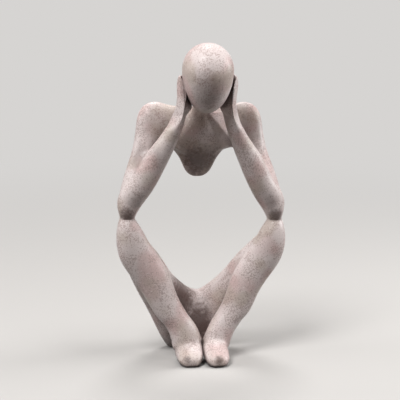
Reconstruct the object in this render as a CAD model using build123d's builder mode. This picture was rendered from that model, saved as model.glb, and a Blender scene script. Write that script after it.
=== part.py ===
from build123d import *
from math import cos, radians, sin, sqrt
import os

os.makedirs("parts", exist_ok=True)

# A seated thinking figure with a bowed egg head, put together from seven castings and their pins.
# The front faces -Y, the ground is Z = 0, and left and right are as seen from the front.
# A side is -1 on the left and 1 on the right.

# Stance, seen from the front
half_span = 68.8  # middle of the figure to the outside of an elbow or a knee
knee_height = 116.5  # ground to the joint where the elbow rests on the knee
knee_tilt = 2.5  # how far the left knee stands above that, and the right one below it
shoulder_height = 209.3  # ground to the top of a shoulder
shoulder_tilt = 1.0  # how far the left shoulder stands above that, and the right one below it

# Depths, measured from the line of the knees
shoulder_setback = 10.0
hand_reach = 20.0
seat_setback = 36.5
shin_bow = 2.0

# Thickness of each form from front to back, halved
arm_half_depth = 9.0
forearm_half_depth = 10.0
leg_half_depth = 10.0
seat_half_depth = 13.2

# Head
head_half_width = 20.0
head_half_depth = 21.5
crown_length = 20.6  # widest girth to the crown
jaw_length = 35.2  # widest girth to the chin
head_bow = 14.0  # degrees that the head is bowed forward
chin_reach = 21.0  # chin in front of the knees
chin_drop = 3.2  # chin below the top of the shoulders
cheek_rise = 29.0  # chin to the fingertips
hand_turn = 18.0  # degrees that each flat hand is turned round the head

# Neck and chest
neck_radius = 6.8
neck_root_drop = 11.0  # root of the neck below the top of the shoulders
neck_root_setback = 8.0
neck_jaw_share = 0.82  # neck joint down the jaw, from the widest girth of the head to the chin
neck_back_share = 0.97  # neck joint behind the head's axis, beside the half depth of the head there
chest_half_width = 24.0
chest_length = 61.5  # top of the shoulders to the tip of the chest sheet
chest_half_depth = 9.5
chest_setback = 18.2  # tip of the chest sheet behind the knees

# Feet
foot_length = 31.0
foot_half_width = 9.6
foot_height = 19.0
heel_setback = 2.5
foot_stride = 2.0  # how far the right foot stands in front of that, and the left one behind it
foot_gap = 0.3  # half the gap between the feet

# Joints, pins and pads
shoulder_joint_share = 0.407  # joint face of an arm from the middle, beside half_span
hip_joint_share = 0.247  # joint face of a leg from the middle, beside half_span
dowel_radius = 2.0
dowel_length = 24.0
bore_clearance = 0.1  # between a pin and its bore, all round
bore_end_gap = 0.4  # between the end of a pin and the end of its bore
glue_gap = 0.1  # between the palms and the head, and round the neck in its socket
pad_thickness = 1.0
pad_share = 0.62  # size of a pad beside the piece that stands on it

# Outlines. Each row is one cross-section, from the joint at the knee onwards: inner edge across
# and up, outer edge across and up, middle of the depth, half depth. Across is a share of
# half_span. Up, depth and half depth are shares of the sizes that limb_rings is given.
arm_outline_shares = [
    (0.763, 0.097, 0.959, 0.097, 0.05, 0.72),
    (0.676, 0.216, 0.948, 0.237, 0.15, 0.89),
    (0.610, 0.345, 0.891, 0.383, 0.30, 0.94),
    (0.535, 0.474, 0.828, 0.512, 0.50, 0.98),
    (0.480, 0.544, 0.785, 0.614, 0.68, 1.00),
    (0.451, 0.582, 0.756, 0.722, 0.80, 1.00),
]
shoulder_outline_shares = [
    (0.426, 0.603, 0.731, 0.851, 0.90, 1.00),
    (0.410, 0.612, 0.672, 0.952, 0.95, 0.98),
    (0.363, 0.614, 0.545, 1.001, 1.00, 0.95),
    (0.305, 0.603, 0.407, 0.981, 1.00, 0.92),
    (0.189, 0.582, 0.218, 0.956, 1.00, 0.92),
]
yoke_middle_shares = (0.000, 0.571, 0.000, 0.959, 1.00, 0.92)
# The forearm and hand rows end with how far the section has turned, as a share of hand_turn.
forearm_outline_shares = [
    (0.785, 0.000, 0.956, 0.000, 0.00, 0.62, 0.00),
    (0.724, 0.071, 0.985, 0.087, 0.02, 0.88, 0.00),
    (0.663, 0.123, 0.958, 0.175, 0.08, 0.92, 0.00),
    (0.584, 0.196, 0.853, 0.267, 0.22, 0.90, 0.00),
    (0.445, 0.362, 0.693, 0.432, 0.45, 0.85, 0.00),
    (0.324, 0.529, 0.510, 0.581, 0.67, 0.80, 0.20),
    (0.237, 0.683, 0.388, 0.711, 0.85, 0.92, 0.65),
    (0.220, 0.750, 0.354, 0.762, 0.90, 1.00, 0.85),
    (0.236, 0.825, 0.329, 0.825, 0.95, 1.08, 0.90),
    (0.260, 0.954, 0.328, 0.954, 1.02, 0.88, 1.00),
    (0.268, 0.984, 0.318, 0.984, 1.03, 0.55, 1.00),
    (0.278, 1.000, 0.308, 1.000, 1.03, 0.22, 1.00),
]
thigh_outline_shares = [
    (0.741, 0.888, 0.945, 0.863, 0.08, 0.55),
    (0.654, 0.850, 0.938, 0.751, 0.20, 0.74),
    (0.531, 0.760, 0.850, 0.614, 0.37, 0.78),
    (0.414, 0.660, 0.719, 0.446, 0.55, 0.82),
    (0.305, 0.561, 0.589, 0.300, 0.73, 0.86),
    (0.195, 0.487, 0.436, 0.112, 0.87, 0.94),
    (0.094, 0.434, 0.240, -0.034, 0.97, 0.98),
]
saddle_middle_shares = (0.000, 0.417, 0.000, -0.052, 1.00, 1.00)
shin_outline_shares = [
    (0.785, 1.000, 0.956, 1.000, 0.00, 0.62),
    (0.752, 0.970, 0.986, 0.950, -0.20, 0.78),
    (0.702, 0.923, 1.000, 0.869, -0.25, 0.93),
    (0.637, 0.850, 0.977, 0.755, 0.00, 1.00),
    (0.538, 0.755, 0.895, 0.648, 0.50, 1.02),
    (0.349, 0.554, 0.675, 0.451, 0.75, 1.00),
    (0.160, 0.318, 0.408, 0.219, -0.25, 0.90),
    (0.054, 0.206, 0.330, 0.116, -1.50, 0.85),
    (0.016, 0.136, 0.280, 0.069, -2.00, 0.70),
]
# Neck, from its root to its joint: along, radius.
neck_flare_shares = [(0.0, 1.48), (0.35, 1.12), (0.70, 0.99), (1.0, 1.00)]
# Chest sheet, from the root of the neck to its tip: down, half width, setback, half depth.
chest_outline_shares = [
    (0.05, 0.27, 0.16, 0.63),
    (0.15, 0.30, 0.16, 0.86),
    (0.25, 0.42, 0.20, 0.97),
    (0.37, 0.72, 0.30, 1.00),
    (0.49, 0.98, 0.45, 0.92),
    (0.60, 0.90, 0.63, 0.79),
    (0.73, 0.66, 0.80, 0.63),
    (0.87, 0.49, 0.92, 0.47),
    (0.96, 0.33, 0.97, 0.34),
    (1.00, 0.15, 1.00, 0.19),
]
# Foot, from heel to toe: along, half width, height.
foot_outline_shares = [
    (0.00, 0.40, 0.50),
    (0.10, 0.86, 0.90),
    (0.30, 1.00, 1.00),
    (0.60, 0.98, 0.78),
    (0.84, 0.85, 0.56),
    (0.96, 0.58, 0.40),
    (1.00, 0.34, 0.27),
]
foot_sink_share = 0.06  # how far the foot's sections reach below the ground before the flat cut


def knee_level(side):
    return knee_height - side * knee_tilt


def shoulder_level(side):
    return shoulder_height - side * shoulder_tilt


def beyond(side):
    # The half that lies further out on this side.
    return Keep.TOP if side > 0 else Keep.BOTTOM


def limb_rings(shares, side, base, rise, setback, half_depth):
    # Each ring is a plane across the limb and the two radii and the turn of its ellipse.
    rings = []
    for inner, inner_up, outer, outer_up, back, depth, *turn in shares:
        inner_edge = Vector(side * inner * half_span, back * setback, base + inner_up * rise)
        outer_edge = Vector(side * outer * half_span, back * setback, base + outer_up * rise)
        across = (outer_edge - inner_edge).normalized()
        place = Plane((inner_edge + outer_edge) / 2, x_dir=across, z_dir=across.cross(Vector(0, 1, 0)))
        half_breadth = (outer_edge - inner_edge).length / 2
        rings.append((place, half_breadth, depth * half_depth, sum(turn) * hand_turn))
    return rings


def limb(rings):
    with BuildPart() as form:
        for place, half_breadth, half_depth, turn in rings:
            with BuildSketch(place):
                with BuildLine():
                    for start in (0, 90, 180, 270):
                        EllipticalCenterArc(
                            (0, 0), half_breadth, half_depth, start, arc_size=90, rotation=turn
                        )
                make_face()
        loft()
    return form.part


def arm_rings(shares, side):
    rise = shoulder_level(side) - knee_level(side)
    return limb_rings(shares, side, knee_level(side), rise, shoulder_setback, arm_half_depth)


def upper_arm(side):
    return limb(arm_rings(arm_outline_shares + shoulder_outline_shares, side))


def yoke():
    # It starts at the second shoulder ring, which lies wholly beyond the joint face.
    left = arm_rings(shoulder_outline_shares[1:], -1)
    right = arm_rings(shoulder_outline_shares[1:], 1)
    rise = shoulder_height - knee_height
    middle = limb_rings(
        [yoke_middle_shares], 1, knee_height, rise, shoulder_setback, arm_half_depth
    )
    return limb(left + middle + right[::-1])


def forearm(side):
    base = knee_level(side)
    rise = fingertip_height - base
    return limb(
        limb_rings(forearm_outline_shares, side, base, rise, -hand_reach, forearm_half_depth)
    )


def thigh_rings(side):
    return limb_rings(
        thigh_outline_shares, side, 0, knee_level(side), seat_setback, seat_half_depth
    )


def thigh(side):
    # It runs just past the middle of the saddle.
    middle = limb_rings(
        [saddle_middle_shares], 1, 0, knee_height, seat_setback, seat_half_depth
    )
    return limb(thigh_rings(side) + middle + thigh_rings(-side)[-1:])


def saddle_half(side):
    with BuildPart() as form:
        add(thigh(side))
        split(bisect_by=Plane.YZ, keep=beyond(side))
    return form.part


def shin(side):
    return limb(
        limb_rings(shin_outline_shares, side, 0, knee_level(side), shin_bow, leg_half_depth)
    )


def foot(side):
    sink = foot_sink_share * foot_height
    with BuildPart() as form:
        for along, breadth, rise in foot_outline_shares:
            half_height = (rise * foot_height + sink) / 2
            place = Plane(
                foot_middle(side) + Vector(0, (0.5 - along) * foot_length, half_height - sink),
                x_dir=(1, 0, 0),
                z_dir=(0, -1, 0),
            )
            with BuildSketch(place):
                Ellipse(breadth * foot_half_width, half_height)
        loft()
    return form.part


def neck():
    with BuildPart() as form:
        for along, flare in neck_flare_shares:
            with BuildSketch(neck_place.offset((along - 1) * neck_length)):
                Circle(flare * neck_radius)
        loft()
    return form.part


def chest():
    with BuildPart() as form:
        for down, breadth, back, depth in chest_outline_shares:
            place = Plane((0, back * chest_setback, shoulder_height - down * chest_length))
            with BuildSketch(place):
                Ellipse(breadth * chest_half_width, depth * chest_half_depth)
        loft()
    return form.part


def egg(extra):
    # The egg stands on the world origin first, so that its depth can be scaled, then it is bowed.
    with BuildPart() as form:
        with BuildSketch(Plane.XZ):
            with BuildLine():
                width = head_half_width + extra
                crown = EllipticalCenterArc((0, 0), width, crown_length + extra, 0, arc_size=90)
                jaw = EllipticalCenterArc((0, 0), width, jaw_length + extra, 0, arc_size=-90)
                Line(crown @ 1, jaw @ 1)
            make_face()
        revolve(axis=Axis.Z)
        scale(by=(1, head_half_depth / head_half_width, 1))
    return form.part.moved(head_place.location)


def bore(place):
    with BuildPart() as form:
        with BuildSketch(place):
            Circle(dowel_radius + bore_clearance)
        extrude(amount=dowel_length / 2 + bore_end_gap, both=True)
    return form.part


def foot_middle(side):
    heel = heel_setback - side * foot_stride
    return Vector(side * (foot_gap + foot_half_width), heel - foot_length / 2, 0)


def knee_place(side):
    across = (forearm_outline_shares[0][0] + forearm_outline_shares[0][2]) / 2
    return Plane((side * across * half_span, 0, knee_level(side)))


def shoulder_place(side):
    up = (yoke_middle_shares[1] + yoke_middle_shares[3]) / 2
    height = knee_level(side) + up * (shoulder_level(side) - knee_level(side))
    return Plane((side * shoulder_joint, shoulder_setback, height), z_dir=(side, 0, 0))


def hip_place(side):
    inner_up, outer_up, back = [thigh_outline_shares[-2][column] for column in (1, 3, 4)]
    height = knee_level(side) * (inner_up + outer_up) / 2
    return Plane((side * hip_joint, back * seat_setback, height), z_dir=(side, 0, 0))


def save(piece, label):
    piece.label = label
    export_step(piece, f"parts/{label}.step")


# Places that the pieces share
sides = {-1: "left", 1: "right"}
shoulder_joint = shoulder_joint_share * half_span
hip_joint = hip_joint_share * half_span
chin_height = shoulder_height - chin_drop
fingertip_height = chin_height + cheek_rise
head_axis = Vector(0, -sin(radians(head_bow)), cos(radians(head_bow)))
head_middle = Vector(0, -chin_reach, chin_height) + head_axis * jaw_length
head_place = Plane(head_middle, x_dir=(1, 0, 0), z_dir=head_axis)
neck_root = Vector(0, neck_root_setback, shoulder_height - neck_root_drop)
jaw_half_depth = head_half_depth * sqrt(1 - neck_jaw_share**2)
neck_joint = (
    head_middle
    - head_axis * neck_jaw_share * jaw_length
    + head_place.y_dir * neck_back_share * jaw_half_depth
)
neck_length = (neck_joint - neck_root).length
neck_place = Plane(neck_joint, x_dir=(1, 0, 0), z_dir=neck_joint - neck_root)

with BuildPart() as head:
    add(egg(0))
    with BuildSketch(neck_place):
        Circle(neck_radius + glue_gap)
    extrude(amount=-jaw_length, mode=Mode.SUBTRACT)
    add(bore(neck_place), mode=Mode.SUBTRACT)
save(head.part, "head")

with BuildPart() as torso:
    add(yoke())
    for side in sides:
        split(bisect_by=Plane.YZ.offset(side * shoulder_joint), keep=beyond(-side))
    add(chest())
    add(neck())
    add(bore(neck_place), mode=Mode.SUBTRACT)
    for side in sides:
        add(bore(shoulder_place(side)), mode=Mode.SUBTRACT)
save(torso.part, "torso")

for side, name in sides.items():
    with BuildPart() as arm:
        add(upper_arm(side))
        split(bisect_by=Plane.YZ.offset(side * shoulder_joint), keep=beyond(side))
        add(forearm(side))
        add(egg(glue_gap), mode=Mode.SUBTRACT)
        add(bore(shoulder_place(side)), mode=Mode.SUBTRACT)
        add(bore(knee_place(side)), mode=Mode.SUBTRACT)
    save(arm.part, f"{name}_arm")

with BuildPart() as pelvis:
    for side in sides:
        add(saddle_half(side))
    for side in sides:
        split(bisect_by=Plane.YZ.offset(side * hip_joint), keep=beyond(-side))
    split(bisect_by=Plane.XY.offset(pad_thickness), keep=Keep.TOP)
    for side in sides:
        add(bore(hip_place(side)), mode=Mode.SUBTRACT)
save(pelvis.part, "pelvis")

for side, name in sides.items():
    with BuildPart() as leg:
        add(thigh(side))
        split(bisect_by=Plane.YZ.offset(side * hip_joint), keep=beyond(side))
        add(shin(side))
        add(foot(side))
        split(bisect_by=Plane.XY.offset(pad_thickness), keep=Keep.TOP)
        add(bore(hip_place(side)), mode=Mode.SUBTRACT)
        add(bore(knee_place(side)), mode=Mode.SUBTRACT)
    save(leg.part, f"{name}_leg")

dowel_places = {"neck": neck_place}
for side, name in sides.items():
    dowel_places[f"{name}_shoulder"] = shoulder_place(side)
    dowel_places[f"{name}_hip"] = hip_place(side)
    dowel_places[f"{name}_knee"] = knee_place(side)
for name, place in dowel_places.items():
    with BuildPart() as dowel:
        with BuildSketch(place):
            Circle(dowel_radius)
        extrude(amount=dowel_length / 2, both=True)
    save(dowel.part, f"{name}_dowel")

for side, name in sides.items():
    with BuildPart() as foot_pad:
        with BuildSketch(Plane(foot_middle(side), x_dir=(0, 1, 0), z_dir=(0, 0, 1))):
            SlotOverall(pad_share * foot_length, pad_share * 2 * foot_half_width)
        extrude(amount=pad_thickness)
    save(foot_pad.part, f"{name}_foot_pad")

with BuildPart() as seat_pad:
    with BuildSketch(Plane((0, seat_setback, 0))):
        SlotOverall(pad_share * 2 * hip_joint, pad_share * seat_half_depth)
    extrude(amount=pad_thickness)
save(seat_pad.part, "seat_pad")
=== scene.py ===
import math
import bmesh
import bpy
import numpy as np
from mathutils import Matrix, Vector


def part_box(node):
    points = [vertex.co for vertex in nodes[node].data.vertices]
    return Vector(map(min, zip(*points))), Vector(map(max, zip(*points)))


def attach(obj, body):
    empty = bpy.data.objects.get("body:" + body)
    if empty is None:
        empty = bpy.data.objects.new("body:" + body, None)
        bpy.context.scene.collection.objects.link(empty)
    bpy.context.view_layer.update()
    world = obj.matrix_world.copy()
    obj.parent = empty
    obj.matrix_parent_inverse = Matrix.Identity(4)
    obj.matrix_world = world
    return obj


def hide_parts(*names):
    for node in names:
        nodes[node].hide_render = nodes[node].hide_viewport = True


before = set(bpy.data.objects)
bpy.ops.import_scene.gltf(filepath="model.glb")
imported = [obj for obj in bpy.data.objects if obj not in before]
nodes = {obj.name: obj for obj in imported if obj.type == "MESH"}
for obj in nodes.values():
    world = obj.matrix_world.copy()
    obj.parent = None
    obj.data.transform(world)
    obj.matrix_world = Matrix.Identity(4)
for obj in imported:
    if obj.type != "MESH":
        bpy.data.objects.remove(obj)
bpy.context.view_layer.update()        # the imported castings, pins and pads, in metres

mm = 0.001
sideNames = {-1: "left", 1: "right"}   # as seen from the front
print("frame loaded:", len(nodes), "nodes")


def addObject(name, data):
    thing = bpy.data.objects.new(name, data)
    bpy.context.collection.objects.link(thing)
    return thing


# Camera: in front of the figure, a little to the left and a little above
view = {
    "turn": -10.0,           # degrees round the figure
    "rise": 12.0,            # degrees above the ground
    "distance": 1.3,         # metres
    "target": (-0.0011, 0.0, 0.13166),
    "lens": 146.25,          # mm, on the sensor below
    "sensor": 36.0,
}


def makeCamera():
    turn = math.radians(view["turn"])
    rise = math.radians(view["rise"])
    level = math.cos(rise)
    back = Vector((math.sin(turn) * level, -math.cos(turn) * level, math.sin(rise)))
    data = bpy.data.cameras.new("camera")
    data.lens = view["lens"]
    data.sensor_width = view["sensor"]
    camera = addObject("camera", data)
    camera.location = Vector(view["target"]) + back * view["distance"]
    camera.rotation_mode = "QUATERNION"
    camera.rotation_quaternion = (-back).to_track_quat("-Z", "Y")
    bpy.context.scene.camera = camera


makeCamera()
print("camera set")


# Materials
def linear(hexColour):
    # sRGB hex to the linear values that shaders use
    channels = [int(hexColour[i:i + 2], 16) / 255 for i in (1, 3, 5)]
    return [c / 12.92 if c <= 0.04045 else ((c + 0.055) / 1.055) ** 2.4 for c in channels] + [1.0]


def newMaterial(name):
    material = bpy.data.materials.new(name)
    material.use_nodes = True
    tree = material.node_tree
    tree.nodes.clear()
    return material, tree


def addNode(tree, kind, inputs=None, **settings):
    # One node with its settings; an input is a value, a socket, or a node, which gives its main output
    node = tree.nodes.new(kind)
    for name, value in settings.items():
        setattr(node, name, value)
    for name, value in (inputs or {}).items():
        if isinstance(value, bpy.types.Node):
            value = next(socket for socket in value.outputs if socket.enabled)
        if isinstance(value, bpy.types.NodeSocket):
            tree.links.new(value, node.inputs[name])
        else:
            node.inputs[name].default_value = value
    return node


def perMetre(size):
    # How often a pattern of this size in mm repeats in a metre
    return 1.0 / (size * mm)


def levels(low, high, most=1.0):
    # A range from nothing at low to most at high
    return {"From Min": low, "From Max": high, "To Max": most}


# Stone powder in casting resin, sprayed with fleck paint, washed with thin umber and lacquered:
# pale and faintly cloudy, peppered with brown grains, with a satin shine, and darker in its recesses and
# shaded places from the wash and from painted shade
stoneLook = {
    "pale": "#E1D3D0",
    "coats": [               # what lies on the pale ground, in this order
        ("rose", "#CFB1AD"),
        ("moss", "#C4B5A9"),
        ("pepper", "#997D76"),
        ("fleck", "#684D47"),
        ("lightSpot", "#F3E9E6"),
        # umber wash with painted shade: darkens the recesses and the places where shade falls
        ("wash", "#4C3630"),
    ],
    "patterns": {            # mm across a patch, detail, roughness, metres that shift it from the others
        "rose": (24.0, 1.0, 0.5, 0.0),
        "moss": (24.0, 1.0, 0.5, 0.3),
        "crowd": (12.0, 2.0, 0.5, 0.6),    # patches where the grains and flecks gather
        "pepper": (1.1, 1.0, 0.7, 0.0),    # the real grains are near 0.3 mm; coarser, so that they show
        "lightSpot": (1.1, 1.0, 0.5, 0.9),
        "rag": (3.0, 2.0, 0.5, 0.0),       # what makes the edge of a stain ragged
        "peel": (1.0, 2.0, 0.6, 0.0),      # the orange peel that the spray leaves
    },
    "cover": {               # levels of the pattern where it starts and is whole, and how much it covers
        "rose": (0.46, 0.66, 0.75),
        "moss": (0.50, 0.68, 0.70),
        "crowd": (0.42, 0.62, 1.00),
        "lightSpot": (0.62, 0.74, 0.60),
    },
    "pepperLevel": (0.57, 0.45),    # of its pattern, above which a grain starts: between patches, in them
    "pepperCover": (0.0, 0.12, 0.55),
    "fleckSize": 1.3,        # mm between flecks, coarsened a little so that they show
    "fleckShare": (0.05, 0.39),     # of the cells that hold a fleck: between patches, in them
    "fleckRadius": (0.10, 0.26),    # smallest and largest, in cells
    "fleckSpread": 0.35,     # how far below the share a cell's chance gives the largest fleck
    "fleckEdge": 0.08,       # in cells
    "fleckCover": 0.80,
    "washDepth": 24.0,       # mm that the wash and painted shade reach out of a recess
    "washRays": 8,           # that look for a recess
    "washCover": (0.85, 0.10, 0.85),   # how open a recess is where it starts and is whole, and how much
    "spotEdge": (1.35, 0.35),       # where a stain, a painted shade or a lifted patch starts and is whole, in its radii
    "spotRag": 0.45,         # how far its edge strays from that
    "stains": [              # where the wash was left thick, with painted shade, under the elbows and at the toes: centre, radii and lowest point in mm, strength
        ((-16.4, -27.0, 8.0), (3.6, 5.0, 4.6), 0.0, 0.75),
        ((9.4, -31.5, 7.4), (4.2, 5.0, 5.0), 0.0, 0.75),
        ((-61.0, -9.0, 121.5), (8.0, 8.0, 8.5), 119.0, 0.85),
        ((-55.0, -12.0, 133.0), (7.0, 7.0, 9.0), 119.0, 0.40),
        ((59.5, -9.0, 116.5), (7.5, 8.0, 8.5), 114.0, 0.80),
        ((55.0, -12.0, 128.0), (6.0, 7.0, 9.0), 114.0, 0.40),
    ],
    "stainFoot": 0.3,        # mm over which a stain with its painted shade ends at its lowest point, up and down
    "shades": [              # painted shade, laid soft where the figure lies in shade: centre and radii in mm, strength
        ((-2.0, 6.0, 158.0), (24.0, 12.0, 20.0), 0.84),
        ((-50.0, -3.0, 169.0), (10.0, 7.0, 13.0), 0.42),
        ((-18.5, -27.0, 226.0), (3.2, 4.5, 10.0), 0.45),
        ((-38.0, -15.0, 170.0), (5.0, 6.0, 11.0), 0.25),
        ((-4.0, -48.0, 222.0), (13.0, 14.0, 20.0), 0.45),
        ((-12.0, 26.0, 44.0), (14.0, 14.0, 24.0), 0.82),
        ((2.0, 22.0, 22.0), (15.0, 14.0, 22.0), 0.86),
        ((40.0, 0.0, 190.0), (12.0, 8.0, 20.0), 0.50),
        ((-36.0, 0.0, 195.0), (13.0, 8.0, 17.0), 0.30),
    ],
    "wiped": [               # painted light: where most of the wash and painted shade in the recesses is taken off again
        ((15.0, 1.0, 194.0), (12.0, 11.0, 15.0), 0.95),
        ((-10.5, 0.0, 196.0), (9.0, 10.0, 16.0), 0.85),
        ((2.0, -2.0, 188.0), (16.0, 8.0, 12.0), 0.50),
    ],
    "relief": 0.1,           # mm, from the lowest to the highest point of the sprayed coat
    "peelHeight": 0.7,       # shares of that
    "fleckHeight": 0.2,
    "bump": 0.35,            # how strongly that relief shows
    "roughness": (0.36, 0.50),      # between the patches, and in them
    "ior": 1.5,
}


def sprayFlecks(tree, place, crowd):
    # A share of the cells holds a fleck: the further a cell's chance lies below the share, the larger
    look = stoneLook
    cells = addNode(tree, "ShaderNodeTexVoronoi", {"Vector": place, "Scale": perMetre(look["fleckSize"])})
    chance = addNode(tree, "ShaderNodeSeparateColor", {"Color": cells.outputs["Color"]})
    least, most = look["fleckShare"]
    share = addNode(tree, "ShaderNodeMapRange", {"Value": crowd, "To Min": least, "To Max": most})
    spare = addNode(tree, "ShaderNodeMath", {0: share, 1: chance}, operation="SUBTRACT")
    smallest, largest = look["fleckRadius"]
    radius = addNode(tree, "ShaderNodeMapRange", {
        "Value": spare, "To Min": smallest, **levels(0.0, look["fleckSpread"], largest),
    }, interpolation_type="SMOOTHSTEP")
    inside = addNode(tree, "ShaderNodeMath", {
        0: radius, 1: cells.outputs["Distance"],
    }, operation="SUBTRACT")
    dots = addNode(tree, "ShaderNodeMapRange", {
        "Value": inside, **levels(0.0, look["fleckEdge"]),
    }, interpolation_type="SMOOTHSTEP")
    held = addNode(tree, "ShaderNodeMath", {0: spare, 1: 0.0}, operation="GREATER_THAN")
    return addNode(tree, "ShaderNodeMath", {0: dots, 1: held}, operation="MULTIPLY")


def paintWashAndShade(tree, place, rag):
    # The wash and painted shade darken the recesses: thick in the stains, thin in the painted shades, and
    # taken off where painted light is laid
    look = stoneLook
    # Painted shade: darker where a recess is closed in, as shade would fall there
    recess = addNode(tree, "ShaderNodeAmbientOcclusion", {
        "Distance": look["washDepth"] * mm,
    }, samples=look["washRays"])
    washAndShade = addNode(tree, "ShaderNodeMapRange", {
        "Value": recess.outputs["AO"], **levels(*look["washCover"]),
    }, interpolation_type="SMOOTHSTEP")
    stray = addNode(tree, "ShaderNodeMapRange", {
        "Value": rag, "To Min": -look["spotRag"], "To Max": look["spotRag"],
    })
    height = addNode(tree, "ShaderNodeSeparateXYZ", {"Vector": place}).outputs["Z"]

    def spot(centre, radii, strength):
        local = addNode(tree, "ShaderNodeMapping", {
            "Vector": place, "Location": [c * mm for c in centre], "Scale": [r * mm for r in radii],
        }, vector_type="TEXTURE")
        away = addNode(tree, "ShaderNodeVectorMath", {0: local}, operation="LENGTH")
        ragged = addNode(tree, "ShaderNodeMath", {0: away, 1: stray}, operation="ADD")
        return addNode(tree, "ShaderNodeMapRange", {
            "Value": ragged, **levels(*look["spotEdge"], strength),
        }, interpolation_type="SMOOTHSTEP")

    # Painted light: the darkening is taken off again on the collar and the upper chest, where light falls
    for centre, radii, strength in look["wiped"]:
        lifted = spot(centre, radii, strength)
        kept = addNode(tree, "ShaderNodeMath", {0: 1.0, 1: lifted}, operation="SUBTRACT")
        washAndShade = addNode(tree, "ShaderNodeMath", {0: washAndShade, 1: kept}, operation="MULTIPLY")
    # Thick wash with painted shade on the down-facing undersides of the elbows and at the toes, cut off
    # below their lowest point
    for centre, radii, lowest, strength in look["stains"]:
        foot = ((lowest - look["stainFoot"]) * mm, (lowest + look["stainFoot"]) * mm)
        above = addNode(tree, "ShaderNodeMapRange", {
            "Value": height, **levels(*foot),
        }, interpolation_type="SMOOTHSTEP")
        stainAndShade = addNode(tree, "ShaderNodeMath", {
            0: spot(centre, radii, strength), 1: above,
        }, operation="MULTIPLY")
        washAndShade = addNode(tree, "ShaderNodeMath", {0: washAndShade, 1: stainAndShade}, operation="MAXIMUM")
    # Painted shade: soft dark patches on the lower chest, the head's lower front, the seat, the shoulders,
    # the left palm and the left arm
    for centre, radii, strength in look["shades"]:
        paintedShade = spot(centre, radii, strength)
        washAndShade = addNode(tree, "ShaderNodeMath", {0: washAndShade, 1: paintedShade}, operation="MAXIMUM")
    return washAndShade


def makeStoneResin():
    look = stoneLook
    material, tree = newMaterial("sprayedStoneResin")
    place = addNode(tree, "ShaderNodeTexCoord").outputs["Object"]
    patterns = {}
    for name, (size, detail, rough, shift) in look["patterns"].items():
        moved = addNode(tree, "ShaderNodeVectorMath", {0: place, 1: [shift] * 3}, operation="ADD")
        patterns[name] = addNode(tree, "ShaderNodeTexNoise", {
            "Vector": moved, "Scale": perMetre(size), "Detail": detail, "Roughness": rough,
        })
    amounts = {}
    for name, cover in look["cover"].items():
        amounts[name] = addNode(tree, "ShaderNodeMapRange", {
            "Value": patterns[name], **levels(*cover),
        }, interpolation_type="SMOOTHSTEP")
    crowd = amounts["crowd"]

    # Grains: in the patches a lower level of their pattern is enough for one
    thin, thick = look["pepperLevel"]
    level = addNode(tree, "ShaderNodeMapRange", {"Value": crowd, "To Min": thin, "To Max": thick})
    grains = addNode(tree, "ShaderNodeMath", {0: patterns["pepper"], 1: level}, operation="SUBTRACT")
    amounts["pepper"] = addNode(tree, "ShaderNodeMapRange", {
        "Value": grains, **levels(*look["pepperCover"]),
    }, interpolation_type="SMOOTHSTEP")
    flecks = sprayFlecks(tree, place, crowd)
    amounts["fleck"] = addNode(tree, "ShaderNodeMath", {
        0: flecks, 1: look["fleckCover"],
    }, operation="MULTIPLY")
    amounts["wash"] = paintWashAndShade(tree, place, patterns["rag"])

    # A mix node's inputs are its factor at 0 and its two colours at 6 and 7
    colour = linear(look["pale"])
    for name, coat in look["coats"]:
        colour = addNode(tree, "ShaderNodeMix", {
            0: amounts[name], 6: colour, 7: linear(coat),
        }, data_type="RGBA")

    # Orange peel from the spray, with each fleck a hair proud of it
    peel = addNode(tree, "ShaderNodeMath", {
        0: patterns["peel"], 1: look["peelHeight"],
    }, operation="MULTIPLY")
    relief = addNode(tree, "ShaderNodeMath", {
        0: flecks, 1: look["fleckHeight"], 2: peel,
    }, operation="MULTIPLY_ADD")
    bump = addNode(tree, "ShaderNodeBump", {
        "Height": relief, "Strength": look["bump"], "Distance": look["relief"] * mm,
    })
    glossy, matt = look["roughness"]
    rough = addNode(tree, "ShaderNodeMapRange", {"Value": crowd, "To Min": glossy, "To Max": matt})
    shader = addNode(tree, "ShaderNodeBsdfPrincipled", {
        "Base Color": colour, "Roughness": rough, "Normal": bump, "IOR": look["ior"],
    })
    addNode(tree, "ShaderNodeOutputMaterial", {"Surface": shader})
    return material


# Needled wool felt, die cut: matt, dark, with a loose nap of short fibres
feltLook = {
    "dark": "#1E1B1A",
    "light": "#3A3532",
    "fibres": (0.35, 4.0, 0.7, 2.0),   # mm between them, detail, roughness, how tangled they are
    "nap": 0.2,              # mm that they stand up
    "bump": 0.8,
    "roughness": 0.95,
    "sheen": 0.3,
}


def makeFelt():
    look = feltLook
    material, tree = newMaterial("needledFelt")
    place = addNode(tree, "ShaderNodeTexCoord").outputs["Object"]
    size, detail, rough, tangle = look["fibres"]
    fibres = addNode(tree, "ShaderNodeTexNoise", {
        "Vector": place, "Scale": perMetre(size),
        "Detail": detail, "Roughness": rough, "Distortion": tangle,
    })
    colour = addNode(tree, "ShaderNodeMix", {
        0: fibres, 6: linear(look["dark"]), 7: linear(look["light"]),
    }, data_type="RGBA")
    bump = addNode(tree, "ShaderNodeBump", {
        "Height": fibres, "Strength": look["bump"], "Distance": look["nap"] * mm,
    })
    shader = addNode(tree, "ShaderNodeBsdfPrincipled", {
        "Base Color": colour, "Roughness": look["roughness"], "Sheen Weight": look["sheen"], "Normal": bump,
    })
    addNode(tree, "ShaderNodeOutputMaterial", {"Surface": shader})
    return material


# Mild steel rod, centreless ground: grey, with a shine that fine grinding marks break up
pinLook = {
    "colour": "#9C9B99",
    "marks": (0.15, 3.0),    # mm between them, detail
    "roughness": (0.28, 0.42),
}


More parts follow.
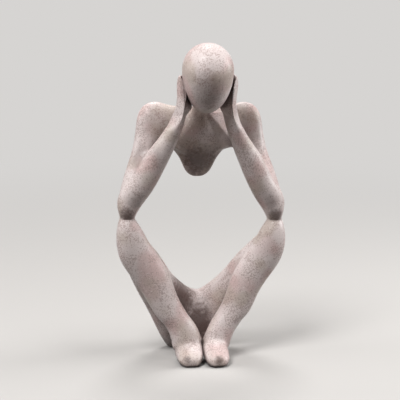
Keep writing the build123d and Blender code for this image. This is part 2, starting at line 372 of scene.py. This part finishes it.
def makeGroundSteel():
    look = pinLook
    material, tree = newMaterial("groundSteel")
    place = addNode(tree, "ShaderNodeTexCoord").outputs["Object"]
    size, detail = look["marks"]
    marks = addNode(tree, "ShaderNodeTexNoise", {
        "Vector": place, "Scale": perMetre(size), "Detail": detail,
    })
    glossy, matt = look["roughness"]
    rough = addNode(tree, "ShaderNodeMapRange", {"Value": marks, "To Min": glossy, "To Max": matt})
    shader = addNode(tree, "ShaderNodeBsdfPrincipled", {
        "Base Color": linear(look["colour"]), "Metallic": 1.0, "Roughness": rough,
    })
    addNode(tree, "ShaderNodeOutputMaterial", {"Surface": shader})
    return material


stoneResin = makeStoneResin()
felt = makeFelt()
groundSteel = makeGroundSteel()
print("materials made")


def addPiece(name, mesh, material, nodeName):
    piece = addObject(name, mesh)
    mesh.materials.clear()
    mesh.materials.append(material)
    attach(piece, "root")
    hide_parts(nodeName)


def camelCase(nodeName):
    first, *others = nodeName.split("_")
    return first + "".join(word.capitalize() for word in others)


def joinLoops(shape, loops):
    for loop, other in zip(loops, loops[1:]):
        for number in range(len(loop)):
            after = (number + 1) % len(loop)
            shape.faces.new((loop[number], other[number], other[after], loop[after]))


# Head: a smooth egg, widest above its middle, bowed forward
egg = {
    "halfWidth": 20.0,       # mm, as all lengths of the head, the body and the pads
    "halfDepth": 21.5,
    "crown": 20.6,           # widest girth to the crown
    "jaw": 35.2,             # widest girth to the chin
    "bow": 14.0,             # degrees
    "middle": (0.0, -29.516, 240.254),
    "rings": 72,
    "spokes": 120,
    "palmGap": 0.10,         # between the head and the palms
}


def eggAxes():
    bow = math.radians(egg["bow"])
    return np.array([(1, 0, 0), (0, math.cos(bow), math.sin(bow)), (0, -math.sin(bow), math.cos(bow))])


def eggPoint(polar, spoke):
    length = egg["crown"] if polar < math.pi / 2 else egg["jaw"]
    local = np.array([
        egg["halfWidth"] * math.sin(polar) * math.cos(spoke),
        egg["halfDepth"] * math.sin(polar) * math.sin(spoke),
        length * math.cos(polar),
    ])
    return (np.array(egg["middle"]) + local @ eggAxes()) * mm


def outsideEgg(points):
    # Points inside the head move straight out to its surface
    local = (points / mm - np.array(egg["middle"])) @ eggAxes().T
    radii = np.stack([
        np.full(len(local), egg["halfWidth"]),
        np.full(len(local), egg["halfDepth"]),
        np.where(local[:, 2] > 0, egg["crown"], egg["jaw"]),
    ], 1) + egg["palmGap"]
    depth = np.linalg.norm(local / radii, axis=1)
    inside = depth < 1
    local[inside] /= depth[inside, None]
    return (np.array(egg["middle"]) + local @ eggAxes()) * mm


def makeHead():
    shape = bmesh.new()
    rings = []
    for ring in range(1, egg["rings"]):
        polar = math.pi * ring / egg["rings"]
        rings.append([
            shape.verts.new(eggPoint(polar, 2 * math.pi * spoke / egg["spokes"]))
            for spoke in range(egg["spokes"])
        ])
    crown, chin = shape.verts.new(eggPoint(0, 0)), shape.verts.new(eggPoint(math.pi, 0))
    for spoke in range(egg["spokes"]):
        after = (spoke + 1) % egg["spokes"]
        shape.faces.new((crown, rings[0][spoke], rings[0][after]))
        shape.faces.new((chin, rings[-1][after], rings[-1][spoke]))
    joinLoops(shape, rings)
    bmesh.ops.recalc_face_normals(shape, faces=shape.faces)
    for face in shape.faces:
        face.smooth = True
    mesh = bpy.data.meshes.new("headShape")
    shape.to_mesh(mesh)
    shape.free()
    addPiece("headCasting", mesh, stoneResin, "head")


# Body: one sculpted skin over all the castings below the head, cut apart at their joints
skin = {
    "castings": ["torso", "left_arm", "right_arm", "pelvis", "left_leg", "right_leg"],
    "grain": 0.9,            # width of a face
    "step": 0.5,             # share of the way to its neighbours' mean that a point goes in a pass
    "firstPolish": (4, 0.52),       # passes, and the share of the way that each then swells back
    "creaseRounds": 14,      # passes that fill the creases between limbs
    "normalRounds": 6,       # passes from one reading of the skin's directions to the next
    "softFolds": [           # where creases are filled more: centre, radii, passes
        ((-50.0, -4.0, 160.0), (34.0, 28.0, 56.0), 240),
        ((58.0, -4.0, 145.0), (24.0, 26.0, 26.0), 120),
        ((-14.0, 2.0, 196.0), (16.0, 22.0, 18.0), 260),
        ((0.0, 17.0, 203.0), (20.0, 9.0, 10.0), 300),
        ((0.0, -8.0, 14.0), (26.0, 20.0, 12.0), 60),
        ((-62.0, 6.0, 134.0), (16.0, 16.0, 26.0), 300),
    ],
    "crispFolds": [          # where they stay as they are: centre, radii
        ((15.0, 2.0, 192.0), (11.0, 16.0, 17.0)),
    ],
    "kneeBand": (3.0, 7.0),  # up or down from a knee joint, where the filling starts and is whole
    "kneeAcross": 45.0,      # the knees are outside this
    "melted": [              # where the skin is smoothed down: centre, radii, passes
        ((0.0, 15.0, 204.0), (13.0, 9.0, 9.0), 60),
    ],
    "lastPolish": (10, 0.50),
    "soleHeight": 1.0,       # the pads are below this
}


def fade(values, start, whole):
    # 0 up to start, 1 from whole on
    return np.clip((values - start) / (whole - start), 0, 1)


def ovalWeight(points, centre, radii):
    # 0 outside an oval, 1 in its inner half
    return fade(np.linalg.norm((points / mm - centre) / radii, axis=1), 1, 0.5)


def gatherCastings():
    points, faces = [], []
    for name in skin["castings"]:
        mesh = nodes[name].data
        start = sum(len(p) for p in points)
        found = np.empty(len(mesh.vertices) * 3)
        mesh.vertices.foreach_get("co", found)
        points.append(found.reshape(-1, 3))
        faces += [[start + corner for corner in polygon.vertices] for polygon in mesh.polygons]
    mesh = bpy.data.meshes.new("gathered")
    mesh.from_pydata(spreadFeet(np.vstack(points), 1), [], faces)
    return mesh


def remeshed(mesh):
    rough = addObject("rough", mesh)
    remesh = rough.modifiers.new("skin", "REMESH")
    remesh.mode = "VOXEL"
    remesh.voxel_size = skin["grain"] * mm
    depsgraph = bpy.context.evaluated_depsgraph_get()
    result = bpy.data.meshes.new_from_object(rough.evaluated_get(depsgraph))
    bpy.data.objects.remove(rough)
    return result


def largestIsland(mesh):
    # The pin bores inside come out as islands of their own, and go
    shape = bmesh.new()
    shape.from_mesh(mesh)
    unseen = set(shape.verts)
    islands = []
    while unseen:
        seed = unseen.pop()
        island, frontier = [seed], [seed]
        while frontier:
            vert = frontier.pop()
            for link in vert.link_edges:
                other = link.other_vert(vert)
                if other in unseen:
                    unseen.remove(other)
                    island.append(other)
                    frontier.append(other)
        islands.append(island)
    islands.sort(key=len)
    print("skin islands:", [len(island) for island in islands])
    for island in islands[:-1]:
        bmesh.ops.delete(shape, geom=island, context="VERTS")
    shape.to_mesh(mesh)
    shape.free()
    return mesh


def foldPasses(points):
    # How many passes fill the creases at each point
    passes = np.full(len(points), float(skin["creaseRounds"]))
    for centre, radii, most in skin["softFolds"]:
        passes = np.maximum(passes, most * ovalWeight(points, centre, radii))
    for centre, radii in skin["crispFolds"]:
        passes *= 1 - ovalWeight(points, centre, radii)
    x, _, z = points.T / mm
    for side, knee in joints["kneeHeights"].items():
        atKnee = side * x > skin["kneeAcross"]
        passes *= np.where(atKnee, fade(np.abs(z - knee), *skin["kneeBand"]), 1)
    return passes


# The feet lean a little and widen away from each other, and the ankles sway above them
feet = {
    "spread": 1.5,           # each way while the skin is made, because they stand only 0.6 apart
    "spreadUp": (40.0, 20.0),       # where that starts and is whole
    "spreadBack": (14.0, 10.0),
    "front": (6.0, -2.0),    # back, where the other changes start and are whole
    "shift": -1.3,           # how far the ankles and feet move across
    "shiftUp": (45.0, 15.0),
    "grow": {-1: 0.12, 1: 0.08},    # share that they widen
    "growUp": (30.0, 18.0),
    "inside": -1.3,          # across, where they meet
    "ankleHeights": (5.0, 11.0, 17.0, 27.0, 38.0, 52.0),
    "ankleLean": {           # how far the ankles move across at these heights
        -1: (0.3, 1.5, 2.7, 1.5, -0.4, 0.0),
        1: (0.0, 0.0, 0.0, 1.2, 2.0, 0.0),
    },
}


def spreadFeet(points, way):
    # The way is 1 for apart and -1 for back together
    x, y, z = points.T / mm
    shifted = points.copy()
    shifted[:, 0] += (
        way * np.sign(x) * feet["spread"] * mm * fade(z, *feet["spreadUp"]) * fade(y, *feet["spreadBack"])
    )
    return shifted


def shapeFeet(points):
    x, y, z = points.T / mm
    front = fade(y, *feet["front"])
    leaned = x + feet["shift"] * fade(z, *feet["shiftUp"]) * front
    grow = np.where(x < 0, feet["grow"][-1], feet["grow"][1])
    leaned += (leaned - feet["inside"]) * grow * fade(z, *feet["growUp"]) * front
    for side, lean in feet["ankleLean"].items():
        leaned += np.interp(z, feet["ankleHeights"], lean) * (np.sign(x) == side) * front
    shaped = points.copy()
    shaped[:, 0] = leaned * mm
    return shaped


# At the right collarbone a flat plane rises behind a crisp crest
collar = {
    "ends": ((4.0, 204.0), (22.0, 182.0)),   # of the crest on the chest, across and up
    "depths": (-5.5, -2.5),  # how far back the crest lies at these ends
    "slope": 0.55,           # how fast the plane above it falls back
    "fall": ((0.0, 6.0, 13.0), (0.0, 1.0, 9.0)),   # below the crest, and how far back there
    "start": (-4.0, 0.0),    # along the crest, where it starts and is whole
    "finish": (7.0, -5.0),   # past its lower end, where it ends and is still whole
    "back": (9.0, 6.0),      # where the filling ends and is still whole
    "front": -8.0,           # what lies before this is a hand
}


def raiseCollar(points):
    x, y, z = points.T / mm
    start, end = (np.array(corner) for corner in collar["ends"])
    length = np.linalg.norm(end - start)
    along = (end - start) / length
    offset = np.stack([x, z], 1) - start
    travel = offset @ along
    over = offset @ np.array([-along[1], along[0]])
    crest = np.interp(travel, (0, length), collar["depths"])
    plane = crest + np.where(over > 0, over * collar["slope"], np.interp(-over, *collar["fall"]))
    ends = fade(travel, *collar["start"]) * fade(travel - length, *collar["finish"])
    fill = np.clip(y - plane, 0, None) * ends * fade(y, *collar["back"]) * (y > collar["front"])
    shaped = points.copy()
    shaped[:, 1] = (y - fill) * mm
    return shaped


# Palms that fill out under the head's girth, slanted backs, and right fingertips that stand off
hands = {
    "palmSwell": {-1: 4.5, 1: 2.6},   # how far they fill out
    "palmUp": (203.0, 209.0, 224.0, 231.0),   # heights where that starts, is whole, is still whole, ends
    "palmOutside": (21.0, 17.0),    # across, where it starts and is whole
    "palmInside": (9.0, 12.0),
    "palmFront": (-8.0, -11.0),
    "backs": {               # the flat on the back of a hand: rear edge and front edge, across and back
        -1: ((24.3, -19.0), (19.2, -27.0)),
        1: ((26.2, -19.0), (20.6, -27.0)),
    },
    "backsUp": (192.0, 204.0),      # where that flat starts and is whole
    "reach": (12.0, 34.0),   # across, from the side at the head to the outside
    "front": -12.0,          # the hands are before this
    "fingerLean": 1.6,       # how far the right fingertips stand off the head
    "fingerUp": (212.0, 226.0),
}


def shapeHands(points):
    x, y, z = points.T / mm
    side, across = np.sign(x), np.abs(x)
    headSide, outside = hands["reach"]
    inHand = (across < outside) & (y < hands["front"])
    swell = np.where(side < 0, hands["palmSwell"][-1], hands["palmSwell"][1])
    swell = swell * fade(across, *hands["palmOutside"]) * fade(across, *hands["palmInside"])
    swell = swell * fade(y, *hands["palmFront"]) * np.interp(z, hands["palmUp"], (0, 1, 1, 0))
    swollen = across - swell
    for way, ((rear, rearBack), (edge, edgeBack)) in hands["backs"].items():
        flat = rear + (edge - rear) * (y - rearBack) / (edgeBack - rearBack)
        cut = np.clip(swollen - flat, 0, None) * (side == way) * inHand
        swollen -= cut * fade(z, *hands["backsUp"])
    fingers = (side > 0) & (across > headSide) & inHand
    swollen += fingers * hands["fingerLean"] * fade(z, *hands["fingerUp"])
    shaped = points.copy()
    shaped[:, 0] = side * swollen * mm
    return shaped


def neighbourMean(points, edges, counts):
    total = np.zeros_like(points)
    for axis in range(3):
        total[:, axis] = np.bincount(edges[:, 0], points[edges[:, 1], axis], len(points))
        total[:, axis] += np.bincount(edges[:, 1], points[edges[:, 0], axis], len(points))
    return total / counts[:, None]


def sculpt(mesh):
    count = len(mesh.vertices)
    edges = np.empty(len(mesh.edges) * 2, dtype=int)
    mesh.edges.foreach_get("vertices", edges)
    edges = edges.reshape(-1, 2)
    counts = np.bincount(edges.ravel(), minlength=count).astype(float)
    points = np.empty(count * 3)
    mesh.vertices.foreach_get("co", points)
    points = points.reshape(-1, 3)

    def directions():
        mesh.vertices.foreach_set("co", points.ravel())
        mesh.update()
        found = np.empty(count * 3)
        mesh.vertices.foreach_get("normal", found)
        return found.reshape(-1, 3)

    def smooth(points, share):
        points += share * (neighbourMean(points, edges, counts) - points)

    def polish(points, rounds, back):
        for _ in range(rounds):
            smooth(points, skin["step"])
            smooth(points, -back)

    # A light polish first, so that the stair steps of the remesh don't count as creases
    polish(points, *skin["firstPolish"])

    # The creases fill up: a point in a hollow moves out, and none moves in
    passes = foldPasses(points)
    for number in range(int(passes.max())):
        if number % skin["normalRounds"] == 0:
            normal = directions()
        lift = ((neighbourMean(points, edges, counts) - points) * normal).sum(1)
        weight = np.clip(passes - number, 0, 1)
        points += (np.clip(lift, 0, None) * weight * skin["step"])[:, None] * normal
    for centre, radii, rounds in skin["melted"]:
        share = skin["step"] * ovalWeight(points, centre, radii)[:, None]
        for _ in range(rounds):
            smooth(points, share)
    polish(points, *skin["lastPolish"])

    # The small forms, then clear of the head and of the ground
    points = spreadFeet(points, -1)
    points = raiseCollar(shapeFeet(points))
    points = outsideEgg(shapeHands(points))
    points[:, 2] = np.maximum(points[:, 2], skin["soleHeight"] * mm)
    mesh.vertices.foreach_set("co", points.ravel())
    mesh.update()


# Where the castings meet
joints = {
    "chestSteps": [          # across, and the front of the chest there: arms and hands pass before it
        (11.5, -60.0),
        (23.0, -8.0),
        (28.0, -2.0),
    ],
    "chestFoot": 150.0,      # a shoulder's cut stays above this
    "hip": 17.0,             # across
    "hipFront": 12.0,        # the shins pass before this
    "seatTop": 90.0,         # a hip's cut stays below this
    "kneeHeights": {-1: 119.0, 1: 114.0},
    "kneeReach": (40.0, 5.0),       # a knee's cut stays outside the one, and within the other of its height
    "snap": 0.0001,          # points this near a cut lie on it
}


def castingOf(centre):
    x, y, z = centre / mm
    side = 1 if x > 0 else -1
    across = abs(x)
    if z > joints["kneeHeights"][side]:
        inChest = any(across < reach and y > front for reach, front in joints["chestSteps"])
        return "torso" if inChest else sideNames[side] + "_arm"
    inSeat = across < joints["hip"] and y > joints["hipFront"]
    return "pelvis" if inSeat else sideNames[side] + "_leg"


def cutAtJoints(shape):
    # Each cut only reaches the limb that it parts
    shoulder, chestFront = joints["chestSteps"][-1]
    kneeOutside, kneeRise = joints["kneeReach"]
    for side, knee in joints["kneeHeights"].items():
        cuts = [
            (
                (side * shoulder, 0, 0), (1, 0, 0),
                lambda p: p.z > joints["chestFoot"] and p.y > chestFront and side * p.x > 0,
            ),
            (
                (side * joints["hip"], 0, 0), (1, 0, 0),
                lambda p: p.z < joints["seatTop"] and p.y > joints["hipFront"] and side * p.x > 0,
            ),
            (
                (0, 0, knee), (0, 0, 1),
                lambda p: side * p.x > kneeOutside and abs(p.z - knee) < kneeRise,
            ),
        ]
        for point, normal, near in cuts:
            faces = [f for f in shape.faces if near(f.calc_center_median() / mm)]
            edges = dict.fromkeys(e for f in faces for e in f.edges)
            verts = dict.fromkeys(v for f in faces for v in f.verts)
            bmesh.ops.bisect_plane(
                shape, geom=[*verts, *edges, *faces], dist=joints["snap"] * mm,
                plane_co=Vector(point) * mm, plane_no=Vector(normal),
            )


def takeCasting(shape, name):
    # A copy of the skin with the other castings' faces gone and the joint faces closed
    part = shape.copy()
    others = [f for f in part.faces if castingOf(f.calc_center_median()) != name]
    bmesh.ops.delete(part, geom=others, context="FACES")
    rims = [e for e in part.edges if e.is_boundary]
    caps = set(bmesh.ops.holes_fill(part, edges=rims, sides=0)["faces"])
    bmesh.ops.recalc_face_normals(part, faces=part.faces)

    # The skin's directions from before the cut, so that its shading runs on over a joint
    stored = part.verts.layers.float_vector["skinNormal"]
    corners = []
    for face in part.faces:
        face.smooth = face not in caps
        for vert in face.verts:
            corners.append(vert[stored].normalized() if face.smooth else face.normal.copy())
    mesh = bpy.data.meshes.new(name + "Shape")
    part.to_mesh(mesh)
    part.free()
    mesh.normals_split_custom_set(corners)
    return mesh


def makeBody():
    mesh = largestIsland(remeshed(gatherCastings()))
    sculpt(mesh)
    print("skin sculpted:", len(mesh.vertices), "points")
    shape = bmesh.new()
    shape.from_mesh(mesh)
    stored = shape.verts.layers.float_vector.new("skinNormal")
    shape.normal_update()
    for vert in shape.verts:
        vert[stored] = vert.normal
    cutAtJoints(shape)
    for name in skin["castings"]:
        pieceName = camelCase(name) + "Casting"
        addPiece(pieceName, takeCasting(shape, name), stoneResin, name)
        print("casting cut:", pieceName)
    shape.free()


makeHead()
print("head made")
makeBody()


# Felt pads under the feet and the seat
pad = {
    "nodes": ("left_foot_pad", "right_foot_pad", "seat_pad"),
    "points": 64,            # round the outline
    "softEdge": 0.15,        # that the cut edge rolls in, top and bottom
}


def makePad(nodeName):
    low, high = (np.array(corner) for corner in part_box(nodeName))
    middle, half = (low + high) / 2, (high - low) / 2
    long = 0 if half[0] > half[1] else 1
    short = 1 - long
    straight = half[long] - half[short]
    soft = pad["softEdge"] * mm
    shape = bmesh.new()
    loops = []
    for height, inset in ((low[2], soft), (low[2] + soft, 0), (high[2] - soft, 0), (high[2], soft)):
        radius = half[short] - inset
        loop = []
        for number in range(pad["points"]):
            angle = 2 * math.pi * number / pad["points"]
            place = [0, 0, height]
            place[long] = middle[long] + math.copysign(straight, math.cos(angle)) + radius * math.cos(angle)
            place[short] = middle[short] + radius * math.sin(angle)
            loop.append(shape.verts.new(place))
        loops.append(loop)
    joinLoops(shape, loops)
    shape.faces.new(loops[0][::-1])
    shape.faces.new(loops[-1])
    bmesh.ops.recalc_face_normals(shape, faces=shape.faces)
    mesh = bpy.data.meshes.new(nodeName + "Shape")
    shape.to_mesh(mesh)
    shape.free()
    addPiece(camelCase(nodeName), mesh, felt, nodeName)


for nodeName in pad["nodes"]:
    makePad(nodeName)
for nodeName in nodes:
    if nodeName.endswith("dowel"):
        nodes[nodeName].data.materials.clear()
        nodes[nodeName].data.materials.append(groundSteel)
print("pads and pins finished")


# Studio: a pale floor that fades into the backdrop, and five soft lamps: the key high in front on the
# left, a weak one low on each side, a rim lamp behind and a fill high in front on the right
studio = {
    "floor": "#C2BFBC",
    "floorBounce": "#474543",       # what the floor gives back to the figure's underside
    "floorRoughness": 0.8,
    "backdrop": "#D6D4D2",
    "floorSize": 14.0,       # metres
    "fade": (0.15, 0.9),     # metres from the figure where the floor turns into the backdrop
    "worldLight": 0.05,
    "aim": (0.0, 0.0, 0.13),
    "lamps": {               # place, size, watts
        "leftLamp": ((-0.95, 0.12, 0.50), 0.60, 3.0),
        "rightLamp": ((0.94, 0.00, 0.46), 0.60, 6.5),
        "keyLamp": ((-0.80, -0.95, 1.80), 0.90, 34.0),
        "rimLamp": ((0.15, 0.75, 1.60), 0.60, 11.0),
        "fillLamp": ((0.55, -0.55, 1.75), 0.60, 6.0),
    },
}


def shownRays(tree):
    # 1 for what the camera sees, straight or in a shine
    path = addNode(tree, "ShaderNodeLightPath").outputs
    shiny = addNode(tree, "ShaderNodeMath", {
        0: path["Is Glossy Ray"], 1: path["Is Transmission Ray"],
    }, operation="MAXIMUM")
    return addNode(tree, "ShaderNodeMath", {0: path["Is Camera Ray"], 1: shiny}, operation="MAXIMUM")


def makeFloor():
    half = studio["floorSize"] / 2
    mesh = bpy.data.meshes.new("floorShape")
    corners = [(-half, -half, 0), (half, -half, 0), (half, half, 0), (-half, half, 0)]
    mesh.from_pydata(corners, [], [(0, 1, 2, 3)])
    # Matt paint: hardly any shine, so that it shows little but the figure's shadow
    material, tree = newMaterial("mattFloorPaint")
    seen = shownRays(tree)
    colour = addNode(tree, "ShaderNodeMix", {
        0: seen, 6: linear(studio["floorBounce"]), 7: linear(studio["floor"]),
    }, data_type="RGBA")
    near = addNode(tree, "ShaderNodeBsdfPrincipled", {
        "Base Color": colour, "Roughness": studio["floorRoughness"],
    })
    far = addNode(tree, "ShaderNodeEmission", {"Color": linear(studio["backdrop"]), "Strength": 1.0})
    place = addNode(tree, "ShaderNodeTexCoord").outputs["Object"]
    away = addNode(tree, "ShaderNodeVectorMath", {0: place}, operation="LENGTH")
    faded = addNode(tree, "ShaderNodeMapRange", {
        "Value": away, **levels(*studio["fade"]),
    }, interpolation_type="SMOOTHSTEP")
    shown = addNode(tree, "ShaderNodeMath", {0: faded, 1: seen}, operation="MULTIPLY")
    surface = addNode(tree, "ShaderNodeMixShader", {0: shown, 1: near, 2: far})
    addNode(tree, "ShaderNodeOutputMaterial", {"Surface": surface})
    mesh.materials.append(material)
    addObject("floor", mesh)


def makeWorld():
    world = bpy.data.worlds.new("studio")
    bpy.context.scene.world = world
    world.use_nodes = True
    tree = world.node_tree
    tree.nodes.clear()
    strength = addNode(tree, "ShaderNodeMapRange", {
        "Value": shownRays(tree), "To Min": studio["worldLight"], "To Max": 1.0,
    })
    background = addNode(tree, "ShaderNodeBackground", {
        "Color": linear(studio["backdrop"]), "Strength": strength,
    })
    addNode(tree, "ShaderNodeOutputWorld", {"Surface": background})


def makeLamps():
    for name, (place, size, watts) in studio["lamps"].items():
        data = bpy.data.lights.new(name, "AREA")
        data.shape = "DISK"
        data.size = size
        data.energy = watts
        lamp = addObject(name, data)
        lamp.location = place
        lamp.rotation_mode = "QUATERNION"
        lamp.rotation_quaternion = (Vector(studio["aim"]) - Vector(place)).to_track_quat("-Z", "Y")


makeFloor()
makeWorld()
makeLamps()
bpy.context.scene.view_settings.view_transform = "Standard"
print("studio set")
